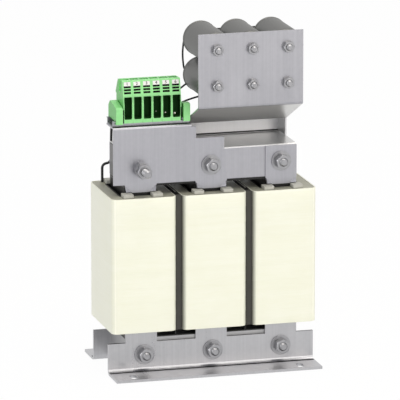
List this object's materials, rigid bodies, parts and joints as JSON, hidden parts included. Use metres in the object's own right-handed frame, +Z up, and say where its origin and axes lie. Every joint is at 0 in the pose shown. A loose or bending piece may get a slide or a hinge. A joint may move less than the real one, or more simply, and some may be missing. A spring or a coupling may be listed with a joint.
{
  "type": "sine wave filter",
  "caption": "Three-phase sine wave filter: taped choke coils on foot angles, with a terminal row and capacitor cans on a folded bracket above.",
  "frame": {"origin": "centre of the base, on the mounting surface", "axes": "+Z up, +X along the row of coils to the viewer's right, -Y to the front, where the terminals are"},
  "size_m": [0.2734, 0.166, 0.4465],
  "materials": {
    "core": "varnished laminations",
    "gap_board": "pressed board",
    "former_board": "black moulded board",
    "winding": "impregnated winding",
    "wrap_tape": "impregnated cream tape",
    "zinc_sheet": "galvanised",
    "zinc_fastener": "zinc plated",
    "can_aluminium": "drawn, satin",
    "cap_resin": "cast resin",
    "tinned_brass": "tinned",
    "spring_steel": "rolled",
    "tag_plastic": "moulded",
    "terminal_plastic": "moulded green",
    "lead_jacket": "extruded jacket"
  },
  "bodies": {
    "root": {"capacitor_1": "can_aluminium", "capacitor_2": "can_aluminium", "capacitor_3": "can_aluminium", "capacitor_4": "can_aluminium", "capacitor_5": "can_aluminium", "capacitor_6": "can_aluminium", "capacitor_blades": "tinned_brass", "capacitor_bracket": "zinc_sheet", "capacitor_caps": "cap_resin", "capacitor_feed_leads": "lead_jacket", "capacitor_link_leads": "lead_jacket", "capacitor_nuts": "zinc_fastener", "capacitor_washers": "zinc_fastener", "clamp_springs": "spring_steel", "coil_former_left": "former_board", "coil_former_middle": "former_board", "coil_former_right": "former_board", "coil_winding_left": "winding", "coil_winding_middle": "winding", "coil_winding_right": "winding", "coil_wrap_left": "wrap_tape", "coil_wrap_middle": "wrap_tape", "coil_wrap_right": "wrap_tape", "contact_bars": "tinned_brass", "earth_bolt": "zinc_fastener", "earth_washers": "zinc_fastener", "end_bracket_left": "terminal_plastic", "end_bracket_right": "terminal_plastic", "finish_leads": "lead_jacket", "front_clamp_strap": "zinc_sheet", "front_coil_pads": "gap_board", "front_foot_angle": "zinc_sheet", "leg_left": "core", "leg_middle": "core", "leg_right": "core", "lower_gap_sheet": "gap_board", "lower_tie_bolts": "zinc_fastener", "lower_yoke": "core", "marker_tags": "tag_plastic", "mounting_rail": "zinc_sheet", "rear_clamp_strap": "zinc_sheet", "rear_coil_pads": "gap_board", "rear_foot_angle": "zinc_sheet", "spring_washers": "zinc_fastener", "start_leads": "lead_jacket", "terminal_1": "terminal_plastic", "terminal_2": "terminal_plastic", "terminal_3": "terminal_plastic", "terminal_4": "terminal_plastic", "terminal_5": "terminal_plastic", "terminal_6": "terminal_plastic", "terminal_plate": "zinc_sheet", "tie_nuts": "zinc_fastener", "upper_clamp": "zinc_sheet", "upper_gap_sheet": "gap_board", "upper_tie_bolts": "zinc_fastener", "upper_yoke": "core", "wide_washers": "zinc_fastener"}
  },
  "joints": []
}
